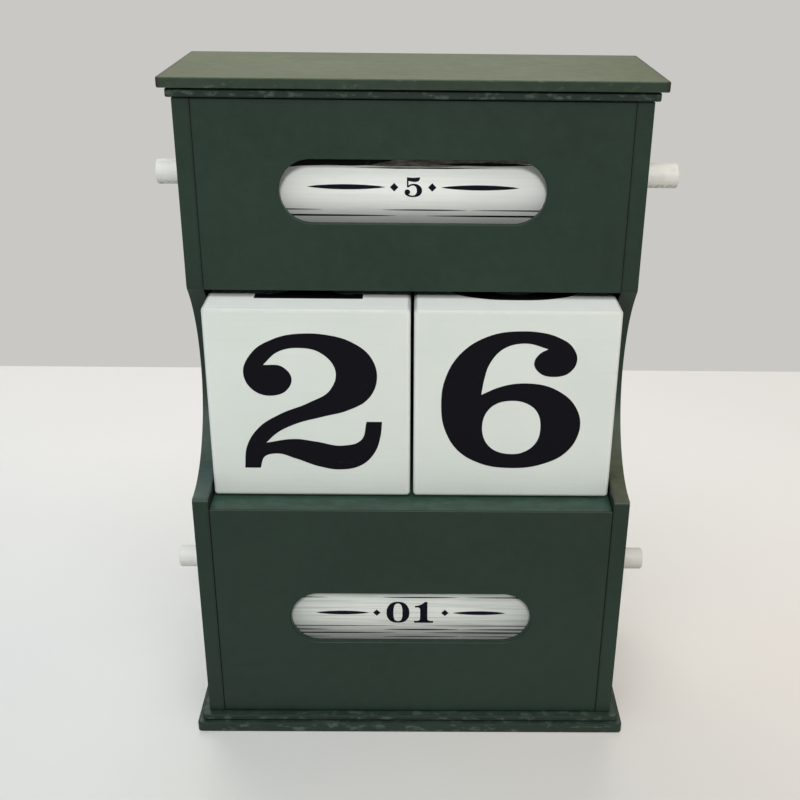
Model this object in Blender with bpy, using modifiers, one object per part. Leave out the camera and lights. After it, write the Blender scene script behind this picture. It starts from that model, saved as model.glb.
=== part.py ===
"""Perpetual desk calendar: a painted board case with two number cubes, a weekday drum and a month drum.

The case stands on a base of two stepped boards. Two side panels with a scooped waist carry everything: an upper box
with the weekday drum, an open bay with the two cubes on a shelf, and a deeper lower box with the month
drum. Each drum is a tube on two end discs, glued to a dowel that runs through both side panels. The
dowel's ends stick out and turn the drum, which shows one label at a time in a window with round ends.

Units are metres and +Z is up. The origin is on the table, at the middle of the model's width and depth.
"""
import math

import bpy
from mathutils import Euler, Vector

# Boards
SIDE_THICKNESS = 0.0040
FRONT_THICKNESS = 0.0020
FLOOR_THICKNESS = 0.0030
BACK_THICKNESS = 0.0020
BASE_THICKNESS = 0.0028
BASE_STEP_THICKNESS = 0.0015
MOULDING_THICKNESS = 0.0019
CAP_THICKNESS = 0.0024
GLUE_GAP = 0.0003
BOARD_EDGE_RADIUS = 0.0004
BASE_CORNER_RADIUS = 0.0012
CORNICE_CORNER_RADIUS = 0.0006

# Cubes and the bay that holds them
CUBE_SIZE = 0.0500
CUBE_EDGE_RADIUS = 0.0010
CUBE_SIDE_GAP = 0.0004
CUBE_MIDDLE_GAP = 0.0008
CUBE_BOTTOM_GAP = 0.0003
CUBE_HEADROOM = 0.0018
CUBE_BACK_GAP = 0.0005

# Fronts of the two boxes, measured from the cubes' faces
LOWER_FRONT_LEAD = 0.0075
UPPER_FRONT_SETBACK = 0.0081

# Overhangs of the boards above and below the case
MOULDING_OVERHANG = 0.0012
CAP_OVERHANG = 0.0027
BASE_STEP_OVERHANG = 0.0020
BASE_OVERHANG = 0.0031

# Scoop in the front edge of each side panel
SHOULDER_HEIGHT = 0.0028
SCOOP_DEPTH = 0.0186
SCOOP_LOWER_RADIUS = 0.0250
SCOOP_END_LIFT = 0.0004
SHOULDER_FILLET = 0.0010
SCOOP_END_FILLET = 0.0020

# Drums, their labels and their dowels
LABEL_HEIGHT = 0.0140
WEEKDAY_LABELS = 7
MONTH_LABELS = 12
DRUM_WALL = 0.0020
DRUM_END_PLAY = 0.0015
DRUM_FRONT_GAP = 0.0018
DRUM_BACK_GAP = 0.0006
WEEKDAY_DRUM_HEADROOM = 0.0052
WEEKDAY_DRUM_FLOOR_GAP = 0.0057
MONTH_DRUM_HEADROOM = 0.0013
MONTH_DRUM_FLOOR_GAP = 0.0045
WEEKDAY_DRUM_SHIFT = 0.0011
DISC_THICKNESS = 0.0030
DOWEL_RADIUS = 0.0030
DOWEL_RUNNING_GAP = 0.00025
DOWEL_CHAMFER = 0.0005
WEEKDAY_DOWEL_GRIP = 0.0098
MONTH_DOWEL_GRIP = 0.0109

# Windows
WINDOW_WIDTH = 0.0629
WINDOW_HEIGHT = 0.0151
WEEKDAY_WINDOW_DROP = 0.0004
MONTH_WINDOW_DROP = 0.0010

# Smoothness of round outlines
HOLE_STEPS = 32
DOWEL_STEPS = 32
FACETS_PER_LABEL = 6
SCOOP_STEPS = 16
FILLET_STEPS = 6
WINDOW_END_STEPS = 16
CORNER_STEPS = 6

# Widths, worked out from the sizes above
inner_width = 2 * CUBE_SIZE + CUBE_MIDDLE_GAP + 2 * CUBE_SIDE_GAP
case_width = inner_width + 2 * SIDE_THICKNESS
board_width = inner_width - 2 * GLUE_GAP
drum_length = inner_width - 2 * DRUM_END_PLAY
weekday_dowel_length = case_width + 2 * WEEKDAY_DOWEL_GRIP
month_dowel_length = case_width + 2 * MONTH_DOWEL_GRIP

# Drums: the label strip goes round each drum just once
weekday_drum_radius = WEEKDAY_LABELS * LABEL_HEIGHT / (2 * math.pi)
month_drum_radius = MONTH_LABELS * LABEL_HEIGHT / (2 * math.pi)

# Depths, from the base board's front edge to the back of the case: the deepest of the three
# compartments sets the inside depth
drum_margin = FRONT_THICKNESS + DRUM_FRONT_GAP + DRUM_BACK_GAP
bay_depth = LOWER_FRONT_LEAD + CUBE_SIZE + CUBE_BACK_GAP
month_box_depth = drum_margin + 2 * month_drum_radius
weekday_box_depth = LOWER_FRONT_LEAD + UPPER_FRONT_SETBACK + drum_margin + 2 * weekday_drum_radius
inside_depth = max(bay_depth, month_box_depth, weekday_box_depth)
model_depth = BASE_OVERHANG + inside_depth + BACK_THICKNESS
base_front_y = -model_depth / 2
case_back_y = model_depth / 2
lower_front_y = base_front_y + BASE_OVERHANG
cube_front_y = lower_front_y + LOWER_FRONT_LEAD
upper_front_y = cube_front_y + UPPER_FRONT_SETBACK
back_panel_y = case_back_y - BACK_THICKNESS
weekday_axis_y = upper_front_y + FRONT_THICKNESS + DRUM_FRONT_GAP + weekday_drum_radius
month_axis_y = lower_front_y + FRONT_THICKNESS + DRUM_FRONT_GAP + month_drum_radius

# Heights, from the table upwards
base_step_z = BASE_THICKNESS + GLUE_GAP
base_step_top_z = base_step_z + BASE_STEP_THICKNESS
case_bottom_z = base_step_top_z + GLUE_GAP
month_axis_z = base_step_top_z + MONTH_DRUM_FLOOR_GAP + month_drum_radius
shelf_bottom_z = month_axis_z + month_drum_radius + MONTH_DRUM_HEADROOM
shelf_top_z = shelf_bottom_z + FLOOR_THICKNESS
cube_bottom_z = shelf_top_z + CUBE_BOTTOM_GAP
bay_top_z = cube_bottom_z + CUBE_SIZE + CUBE_HEADROOM
upper_floor_top_z = bay_top_z + FLOOR_THICKNESS
weekday_axis_z = upper_floor_top_z + WEEKDAY_DRUM_FLOOR_GAP + weekday_drum_radius
moulding_bottom_z = weekday_axis_z + weekday_drum_radius + WEEKDAY_DRUM_HEADROOM
case_top_z = moulding_bottom_z - GLUE_GAP
moulding_top_z = moulding_bottom_z + MOULDING_THICKNESS
cap_bottom_z = moulding_top_z + GLUE_GAP
cap_top_z = cap_bottom_z + CAP_THICKNESS


def clear_scene():
    """Remove the objects that a new Blender file starts with."""
    for item in list(bpy.data.objects):
        bpy.data.objects.remove(item, do_unlink=True)


def part_collection():
    """Collection that holds the calendar, made active so that new objects land in it."""
    collection = bpy.data.collections.new("desk_calendar")
    bpy.context.scene.collection.children.link(collection)
    layer = bpy.context.view_layer.layer_collection.children[collection.name]
    bpy.context.view_layer.active_layer_collection = layer
    return collection


def painted(name, colour, roughness):
    """Principled material with a linear colour."""
    material = bpy.data.materials.new(name)
    material.use_nodes = True
    shader = material.node_tree.nodes["Principled BSDF"]
    shader.inputs["Base Color"].default_value = (*colour, 1.0)
    shader.inputs["Roughness"].default_value = roughness
    shader.inputs["Metallic"].default_value = 0.0
    return material


def round_edges(item, radius, segments):
    """Bevel every hard edge of a board or cube."""
    bevel = item.modifiers.new("rounded_edges", "BEVEL")
    bevel.width = radius
    bevel.segments = segments
    bevel.limit_method = "ANGLE"
    bevel.angle_limit = math.radians(30)


def block(name, low, high, radius, segments, material):
    """Rectangular piece between two opposite corners, with rounded edges."""
    low = Vector(low)
    high = Vector(high)
    bpy.ops.mesh.primitive_cube_add(size=1, location=(low + high) / 2)
    item = bpy.context.object
    item.name = name
    item.scale = high - low
    bpy.ops.object.transform_apply(location=False, rotation=False, scale=True)
    round_edges(item, radius, segments)
    item.data.materials.append(material)
    return item


def arc(centre, radius, start, end, steps):
    """Points along a circular arc, both ends included, with angles in radians."""
    points = []
    for index in range(steps + 1):
        angle = start + (end - start) * index / steps
        points.append((centre[0] + radius * math.cos(angle), centre[1] + radius * math.sin(angle)))
    return points


def circle(centre, radius, steps):
    """Points of a full circle, the first one not repeated."""
    return arc(centre, radius, 0, 2 * math.pi, steps)[:-1]


def sheet(name, outlines, thickness, location, rotation, material):
    """Board cut from flat stock: the first outline is its edge, the others are holes."""
    curve = bpy.data.curves.new(name, "CURVE")
    curve.dimensions = "2D"
    curve.fill_mode = "BOTH"
    curve.extrude = thickness / 2
    for outline in outlines:
        spline = curve.splines.new("POLY")
        spline.points.add(len(outline) - 1)
        for point, (across, up) in zip(spline.points, outline):
            point.co = (across, up, 0, 1)
        spline.use_cyclic_u = True
    item = bpy.data.objects.new(name, curve)
    item.location = location
    item.rotation_euler = rotation
    bpy.context.collection.objects.link(item)
    curve.materials.append(material)
    return item


def turned(name, profile, steps, location, material):
    """Round piece about the X axis: the profile's pairs are radius and distance along the axis."""
    mesh = bpy.data.meshes.new(name)
    corners = [(radius, 0, along) for radius, along in profile]
    edges = [(index, index + 1) for index in range(len(corners) - 1)]
    if profile[0][0] > 0:
        edges.append((len(corners) - 1, 0))
    mesh.from_pydata(corners, edges, [])
    item = bpy.data.objects.new(name, mesh)
    item.location = location
    item.rotation_euler = Euler((0, math.radians(90), 0))
    bpy.context.collection.objects.link(item)
    screw = item.modifiers.new("turned", "SCREW")
    screw.axis = "Z"
    screw.angle = 2 * math.pi
    screw.steps = steps
    screw.render_steps = steps
    screw.use_merge_vertices = True
    screw.merge_threshold = 0.00001
    screw.use_smooth_shade = False
    mesh.materials.append(material)
    return item


def scoop_corner(front_y, fillet, scoop_centre, scoop_radius, side):
    """Fillet where the scoop runs out into a straight front edge.

    The fillet's circle touches the front edge from behind and the scoop's circle from outside. side is
    1 above the scoop's centre and -1 below it. The result is the fillet's centre and the direction from
    the scoop's centre to it, which is where the two circles touch.
    """
    across = front_y + fillet - scoop_centre[0]
    reach = scoop_radius + fillet
    centre = (front_y + fillet, scoop_centre[1] + side * math.sqrt(reach ** 2 - across ** 2))
    touch = math.atan2(centre[1] - scoop_centre[1], across)
    return centre, touch


def rounded_rectangle(half, front_y, back_y, radius):
    """Rectangle with rounded corners, looking down: pairs of X and Y, anticlockwise."""
    corners = ((half - radius, front_y + radius), (half - radius, back_y - radius),
               (radius - half, back_y - radius), (radius - half, front_y + radius))
    outline = []
    for index, centre in enumerate(corners):
        start = math.radians(90 * index - 90)
        outline += arc(centre, radius, start, start + math.pi / 2, CORNER_STEPS)
    return outline


def side_outline():
    """Outline of a side panel, looking along X: pairs of Y and Z, anticlockwise from the lower front."""
    deepest_y = cube_front_y + SCOOP_DEPTH
    scoop_z = shelf_top_z + SHOULDER_HEIGHT + SCOOP_LOWER_RADIUS
    set_in = deepest_y - upper_front_y
    rise = bay_top_z + SCOOP_END_LIFT - scoop_z
    upper_radius = (set_in ** 2 + rise ** 2) / (2 * set_in)
    lower_centre = (deepest_y - SCOOP_LOWER_RADIUS, scoop_z)
    upper_centre = (deepest_y - upper_radius, scoop_z)
    shoulder, lower_touch = scoop_corner(lower_front_y, SHOULDER_FILLET, lower_centre, SCOOP_LOWER_RADIUS, -1)
    brow, upper_touch = scoop_corner(upper_front_y, SCOOP_END_FILLET, upper_centre, upper_radius, 1)
    outline = [(lower_front_y, case_bottom_z), (case_back_y, case_bottom_z)]
    outline += [(case_back_y, case_top_z), (upper_front_y, case_top_z)]
    outline += arc(brow, SCOOP_END_FILLET, math.pi, math.pi + upper_touch, FILLET_STEPS)
    outline += arc(upper_centre, upper_radius, upper_touch, 0, SCOOP_STEPS)[1:]
    outline += arc(lower_centre, SCOOP_LOWER_RADIUS, 0, lower_touch, SCOOP_STEPS)[1:]
    outline += arc(shoulder, SHOULDER_FILLET, math.pi + lower_touch, math.pi, FILLET_STEPS)[1:]
    return outline


def window_outline(centre_z):
    """Slot with half-round ends, looking along Y: pairs of X and Z."""
    radius = WINDOW_HEIGHT / 2
    middle = WINDOW_WIDTH / 2 - radius
    right_end = arc((middle, centre_z), radius, -math.pi / 2, math.pi / 2, WINDOW_END_STEPS)
    left_end = arc((-middle, centre_z), radius, math.pi / 2, 3 * math.pi / 2, WINDOW_END_STEPS)
    return right_end + left_end


def side_panels(paint):
    """The two scooped side panels, each with a hole for either dowel."""
    facing_x = Euler((math.radians(90), 0, math.radians(90)))
    hole_radius = DOWEL_RADIUS + DOWEL_RUNNING_GAP
    weekday_hole = circle((weekday_axis_y, weekday_axis_z), hole_radius, HOLE_STEPS)
    month_hole = circle((month_axis_y, month_axis_z), hole_radius, HOLE_STEPS)
    outlines = [side_outline(), weekday_hole, month_hole]
    middle_x = (inner_width + SIDE_THICKNESS) / 2
    for name, place_x in (("left_side_panel", -middle_x), ("right_side_panel", middle_x)):
        sheet(name, outlines, SIDE_THICKNESS, (place_x, 0, 0), facing_x, paint)


def front_panel(name, front_y, bottom_z, top_z, window_z, paint):
    """Front of one of the boxes, set between the side panels, with its window."""
    facing_front = Euler((math.radians(90), 0, 0))
    half = board_width / 2
    edge = [(-half, bottom_z), (half, bottom_z), (half, top_z), (-half, top_z)]
    outlines = [edge, window_outline(window_z)]
    place = (0, front_y + FRONT_THICKNESS / 2, 0)
    sheet(name, outlines, FRONT_THICKNESS, place, facing_front, paint)


def inner_board(name, front_y, bottom_z, paint):
    """Horizontal board between the side panels, from a front panel to the back panel."""
    low = (-board_width / 2, front_y + FRONT_THICKNESS + GLUE_GAP, bottom_z)
    high = (board_width / 2, back_panel_y - GLUE_GAP, bottom_z + FLOOR_THICKNESS)
    block(name, low, high, BOARD_EDGE_RADIUS, 1, paint)


def case(paint):
    """All boards of the case."""
    side_panels(paint)
    front_panel("upper_front_panel", upper_front_y, bay_top_z, case_top_z,
                weekday_axis_z - WEEKDAY_WINDOW_DROP, paint)
    front_panel("lower_front_panel", lower_front_y, case_bottom_z, shelf_top_z,
                month_axis_z - MONTH_WINDOW_DROP, paint)
    inner_board("cube_shelf", lower_front_y, shelf_bottom_z, paint)
    inner_board("upper_box_floor", upper_front_y, bay_top_z, paint)
    block("back_panel", (-board_width / 2, back_panel_y, case_bottom_z),
          (board_width / 2, case_back_y, case_top_z), BOARD_EDGE_RADIUS, 1, paint)
    stacked_board("base_plate", lower_front_y, BASE_OVERHANG, 0, BASE_THICKNESS, BASE_CORNER_RADIUS, paint)
    stacked_board("base_step", lower_front_y, BASE_STEP_OVERHANG, base_step_z, BASE_STEP_THICKNESS,
                  BASE_CORNER_RADIUS, paint)
    stacked_board("top_moulding", upper_front_y, MOULDING_OVERHANG, moulding_bottom_z, MOULDING_THICKNESS,
                  CORNICE_CORNER_RADIUS, paint)
    stacked_board("top_cap", upper_front_y, CAP_OVERHANG, cap_bottom_z, CAP_THICKNESS,
                  CORNICE_CORNER_RADIUS, paint)


def stacked_board(name, front_y, overhang, bottom_z, thickness, corner_radius, paint):
    """Board above or below the case: it overhangs the sides and front and is flush at the back."""
    outline = rounded_rectangle(case_width / 2 + overhang, front_y - overhang, case_back_y, corner_radius)
    count = len(outline)
    corners = [(across, along, bottom_z) for across, along in outline]
    corners += [(across, along, bottom_z + thickness) for across, along in outline]
    faces = [tuple(reversed(range(count))), tuple(range(count, 2 * count))]
    for index in range(count):
        following = (index + 1) % count
        faces.append((index, following, count + following, count + index))
    mesh = bpy.data.meshes.new(name)
    mesh.from_pydata(corners, [], faces)
    item = bpy.data.objects.new(name, mesh)
    bpy.context.collection.objects.link(item)
    round_edges(item, BOARD_EDGE_RADIUS, 3)
    mesh.materials.append(paint)


def roller(prefix, radius, labels, axis_y, axis_z, shift, dowel_length, label_white, dowel_white, bare_board):
    """Drum tube, two end discs and the dowel through them, all about one axis along X."""
    steps = labels * FACETS_PER_LABEL
    tube_inside = radius - DRUM_WALL
    half_tube = drum_length / 2
    middle = (shift, axis_y, axis_z)
    tube = [(radius, half_tube), (radius, -half_tube), (tube_inside, -half_tube), (tube_inside, half_tube)]
    turned(prefix + "_drum", tube, steps, middle, label_white)
    rim = tube_inside - GLUE_GAP
    bore = DOWEL_RADIUS + GLUE_GAP
    half_disc = DISC_THICKNESS / 2
    disc = [(rim, half_disc), (rim, -half_disc), (bore, -half_disc), (bore, half_disc)]
    for side, direction in (("left", -1), ("right", 1)):
        place = (shift + direction * (half_tube - half_disc), axis_y, axis_z)
        turned(prefix + "_" + side + "_disc", disc, steps, place, bare_board)
    half_dowel = dowel_length / 2
    chamfered = DOWEL_RADIUS - DOWEL_CHAMFER
    dowel = [(0, half_dowel), (chamfered, half_dowel), (DOWEL_RADIUS, half_dowel - DOWEL_CHAMFER)]
    dowel += [(DOWEL_RADIUS, DOWEL_CHAMFER - half_dowel), (chamfered, -half_dowel), (0, -half_dowel)]
    turned(prefix + "_dowel", dowel, DOWEL_STEPS, middle, dowel_white)


def cubes(cube_white):
    """The two number cubes, side by side on the shelf."""
    middle_x = (CUBE_MIDDLE_GAP + CUBE_SIZE) / 2
    for name, place_x in (("tens_cube", -middle_x), ("units_cube", middle_x)):
        low = (place_x - CUBE_SIZE / 2, cube_front_y, cube_bottom_z)
        high = (place_x + CUBE_SIZE / 2, cube_front_y + CUBE_SIZE, cube_bottom_z + CUBE_SIZE)
        block(name, low, high, CUBE_EDGE_RADIUS, 3, cube_white)


def main():
    clear_scene()
    part_collection()
    paint = painted("green_paint", (0.026, 0.044, 0.030), 0.45)
    cube_white = painted("white_paint", (0.75, 0.78, 0.75), 0.45)
    label_white = painted("label_strip", (0.68, 0.71, 0.68), 0.6)
    dowel_white = painted("dowel_paint", (0.72, 0.71, 0.66), 0.55)
    bare_board = painted("bare_board", (0.42, 0.27, 0.15), 0.8)
    case(paint)
    roller("weekday", weekday_drum_radius, WEEKDAY_LABELS, weekday_axis_y, weekday_axis_z,
           WEEKDAY_DRUM_SHIFT, weekday_dowel_length, label_white, dowel_white, bare_board)
    roller("month", month_drum_radius, MONTH_LABELS, month_axis_y, month_axis_z,
           0, month_dowel_length, label_white, dowel_white, bare_board)
    cubes(cube_white)


main()
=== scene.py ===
"""Looks of the perpetual desk calendar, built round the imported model.

The boards, cubes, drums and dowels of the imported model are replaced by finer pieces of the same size,
with rounded edges, painted surfaces, printed figures and label strips. The end discs of the drums stay
and get a board's material. All lengths are in metres.
"""
import math

import bmesh
import bpy
from mathutils import Matrix, Vector


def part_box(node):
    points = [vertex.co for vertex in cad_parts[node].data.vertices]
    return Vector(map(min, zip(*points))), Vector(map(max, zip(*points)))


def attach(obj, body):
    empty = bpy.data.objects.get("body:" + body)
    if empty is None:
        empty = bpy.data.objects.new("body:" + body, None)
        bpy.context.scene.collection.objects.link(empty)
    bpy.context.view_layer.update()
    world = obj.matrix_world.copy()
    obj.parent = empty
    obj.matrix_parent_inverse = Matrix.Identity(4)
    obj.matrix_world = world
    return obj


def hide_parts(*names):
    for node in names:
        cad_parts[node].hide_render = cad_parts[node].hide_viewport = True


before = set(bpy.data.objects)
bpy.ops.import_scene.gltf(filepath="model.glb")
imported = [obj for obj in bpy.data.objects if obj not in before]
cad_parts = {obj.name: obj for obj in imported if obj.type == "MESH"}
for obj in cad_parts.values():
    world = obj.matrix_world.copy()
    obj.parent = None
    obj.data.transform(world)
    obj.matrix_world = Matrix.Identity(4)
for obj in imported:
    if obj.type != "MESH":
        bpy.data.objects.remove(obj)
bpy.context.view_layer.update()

# Camera, fitted to the edges in the photograph for an image of 800 by 800
CAMERA_PLACE = (0.00064, -0.28997, 0.20603)
CAMERA_PITCH = 26.502
CAMERA_YAW = 0.7166
CAMERA_ROLL = -0.678
CAMERA_LENS = 53.114
CAMERA_SENSOR_WIDTH = 36
CAMERA_SHIFT = (-0.0341, 0.1000)
CAMERA_CLIP_START = 0.01
CAMERA_CLIP_END = 20

# Room, with the place, size, power and colour of each lamp
TABLE_BACK_Y = 0.243
TABLE_REACH = 1.6
TABLE_THICKNESS = 0.030
TABLE_CORNER_RADIUS = 0.02
BACKDROP_COLOUR = (0.584, 0.578, 0.552, 1)
BACKDROP_STRENGTH = 1.0
AMBIENT_COLOUR = (0.98, 1.0, 0.98, 1)
AMBIENT_STRENGTH = 0.10
LAMP_TARGET = (0, 0, 0.08)
LAMPS = {
    "front_key": ((0.0, -0.79, 0.62), 0.15, 4.1, (1.0, 1.0, 0.99)),
    "high_front": ((0.0, -0.45, 1.10), 0.8, 6.2, (1.0, 1.0, 0.98)),
    "back_light": ((-0.12, 0.62, 0.80), 0.8, 3.6, (1.0, 0.99, 0.94)),
    "cool_left": ((-0.60, -0.05, 0.55), 0.4, 0.55, (0.24, 0.62, 1.0)),
    "warm_right": ((0.60, -0.05, 0.55), 0.4, 0.50, (1.0, 0.70, 0.38)),
}

# Rounding and smoothness, with angles in degrees unless their name says radians
BOARD_RIM = 0.00035
BOARD_RIM_STEPS = 3
CUBE_RIM = 0.0010
CUBE_RIM_STEPS = 5
HARD_EDGE_ANGLE = 35
BASE_CORNER_RADIUS = 0.0012
CORNICE_CORNER_RADIUS = 0.0006
CORNER_STEPS = 10
ARC_STEPS = 48
FILLET_STEPS = 10
ROUND_STEPS = 64
TUBE_LIP = 0.0003
TUBE_SKIN = 0.0001
TUBE_SMOOTH_ANGLE = 30
DOWEL_END_ROUND = 0.0005
DOWEL_END_STEPS = 4
DOWEL_SMOOTH_ANGLE = 40
WELD_DISTANCE = 0.000001
FLAT_JOINT_RADIANS = 0.002

# Scoop of the side panels, as in the part's source
SHOULDER_HEIGHT = 0.0028
SCOOP_DEPTH = 0.0186
SCOOP_LOWER_RADIUS = 0.0250
SCOOP_END_LIFT = 0.0004
SHOULDER_FILLET = 0.0010
SCOOP_END_FILLET = 0.0020

# Windows and holes, as in the part's source
WINDOW_WIDTH = 0.0629
WINDOW_HEIGHT = 0.0151
WEEKDAY_WINDOW_DROP = 0.0004
MONTH_WINDOW_DROP = 0.0010
DOWEL_HOLE_RADIUS = 0.00325
DRUM_WALL = 0.0020

# Paint that runs over the seams between boards
SHELF_SEAM_COVER = 0.0004
JOINT_FILL = 0.00025
FRONT_RIM = 0.00030
PAINT_LIFT = 0.00002

# Dark line along the joints between the side panels and the boards between them
JOINT_PLACE = 0.0508
JOINT_NEAR = 0.0003
JOINT_FAR = 0.0009
JOINT_WANDER = 0.0006
JOINT_SHARE = 0.75
JOINT_TONE = (0.0035, 0.0085, 0.0055, 1)

# Bare brown ends of the cap
BARE_END_PLACE = 0.0562
BARE_END_FADE = 0.0009
BARE_END_SHARE = 0.8
BARE_END_TONE = (0.027, 0.019, 0.0135, 1)

# Tones of the green paints: deep, pale and worn
CASE_GREEN = ((0.0061, 0.0202, 0.0118), (0.0104, 0.0284, 0.0173), (0.030, 0.052, 0.039))
# Darker copy for the front panels' rounded edges: painted shade, the window sills among them
PANEL_RIM_PAINTED_SHADE = ((0.0042, 0.0140, 0.0082), (0.0070, 0.0195, 0.0118), (0.024, 0.042, 0.031))
CASE_RIM_GREEN = ((0.0085, 0.0235, 0.0145), (0.0160, 0.0360, 0.0235), (0.055, 0.084, 0.064))
TRIM_GREEN = ((0.0052, 0.0165, 0.0103), (0.0118, 0.0268, 0.0180), (0.056, 0.082, 0.062))
# Darker copy for the rounded edges of base and moulding: painted shade that damps their highlights
TRIM_RIM_PAINTED_SHADE = ((0.0036, 0.0120, 0.0074), (0.0085, 0.0200, 0.0134), (0.040, 0.062, 0.047))
# Lighter copies for the cap and its rim: painted sheen on the cap and a painted highlight along its rim
CAP_SHEEN_GREEN = ((0.0215, 0.0350, 0.0235), (0.0310, 0.0480, 0.0325), (0.056, 0.082, 0.060))
CAP_RIM_HIGHLIGHT_GREEN = ((0.0200, 0.0380, 0.0250), (0.0480, 0.0690, 0.0450), (0.110, 0.135, 0.100))

# Painted shade on a cube's upper rounded edge, which damps its highlight, and painted light on its top
CUBE_EDGE_PAINTED_SHADE = (0.53, 0.565, 0.54, 1)
CUBE_TOP_PAINTED_LIGHT = (0.86, 0.89, 0.86, 1)

# Tones of the table: painted cool shade on its near left, painted warm shade on its near right, painted
# light on its far side, and its clouds
TABLE_NEAR_LEFT_PAINTED_COOL_SHADE = (0.560, 0.600, 0.588, 1)
TABLE_NEAR_RIGHT_PAINTED_WARM_SHADE = (0.672, 0.622, 0.570, 1)
TABLE_FAR_PAINTED_LIGHT = (0.930, 0.906, 0.888, 1)
TABLE_CLOUD = (0.740, 0.735, 0.725, 1)

# Painted shade on the sides of the labels, as distances from a line a little left of the middle
LABEL_SHADE_OFFSET = 0.003
LABEL_SHADE_START = 0.010
LABEL_SHADE_END = 0.027
LABEL_SHADE_SHARE = 0.16
LABEL_SHADE_TONE = (0.10, 0.12, 0.11, 1)

# Darker right ends of the dowels: where the darkening starts and ends along X, and its share on each right
# end
DOWEL_DARKENING_START = 0.052
DOWEL_DARKENING_END = 0.060
WEEKDAY_END_DARKENING = 0.12
MONTH_END_DARKENING = 0.48

# Films of print, which are cut across in steps before they are bent
INK_SHINE = 0.09
INK_LIFT = 0.00003
INK_THICKNESS = 0.00004
BEND_STEP = 0.0008
BEND_CUTS = 10

# Figures, with their height, pitch, foot and lift in the millimetres of their outlines
MILLIMETRE = 0.001
CURVE_HANDLE = 0.36
FIGURE_STEPS = 7
LABEL_FIGURE_STEPS = 4
FIGURE_CAP = 36.2
FIGURE_PITCH = 36.0
FIGURE_FOOT = 17.45
TURNED_SIX_LIFT = 2.95

# Labels, each with a diamond and a swelled rule on either side of its number
LABEL_HEIGHT = 0.0140
DIAMOND_PLACE = 0.0022
DIAMOND_HALF = 0.0010
RULE_START = 0.0042
RULE_END = 0.0252
RULE_THICKNESS = 0.0012
RULE_STEPS = 12
RULE_TAPER = 0.7

# Spans of the worn lines along X, which the lines of a label take in turn
LINE_SPANS = (((-0.049, -0.0215), (-0.0075, 0.0130), (0.0140, 0.049)), ((-0.049, -0.0040), (0.0030, 0.049)))

# Print of each strip, whose labels follow each other upwards from the front line
WEEKDAY_STRIP = {"labels": ["5", "6", "7", "1", "2", "3", "4"], "first_turn": 0.0,
                 "cap_height": 0.00465, "base": -0.00228,
                 "line_levels": [(-0.0057, 0.00034), (-0.0074, 0.00052)]}
MONTH_STRIP = {"labels": ["%02d" % month for month in range(1, 13)], "first_turn": -0.00164,
               "cap_height": 0.00690, "base": -0.00348,
               "line_levels": [(0.0047, 0.00034), (-0.0046, 0.00026), (-0.0061, 0.00046),
                               (-0.0075, 0.00050)]}

# Painted shadow of the upper window's top edge over the front weekday label, in millimetres along the drum
# and above the front line
SHADOW_BAND_BROWN = [(-11, 5.0), (-6, 4.75), (0, 4.8), (6, 4.7), (11, 5.0), (17, 5.7), (27, 5.6), (29, 6.2),
             (27, 7.4), (-11, 7.4)]
SHADOW_BAND_DARK = [(-31, 4.1), (-29.5, 4.5), (-26, 4.85), (-20, 5.0), (-14, 4.9), (-10, 5.1), (-7.5, 5.7),
             (-5, 6.1), (-7, 7.4), (-27, 7.4), (-29.5, 5.8)]
SHADOW_BAND_THIN = [(5, 5.5), (11, 5.1), (18, 5.0), (24, 5.1), (28.5, 5.3), (24, 5.65), (18, 5.8), (11, 5.65)]
SHADOW_BAND_LINE = [(-14, 4.5), (-4, 4.3), (8, 4.35), (19, 4.6), (8, 4.65), (-4, 4.62)]

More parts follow.
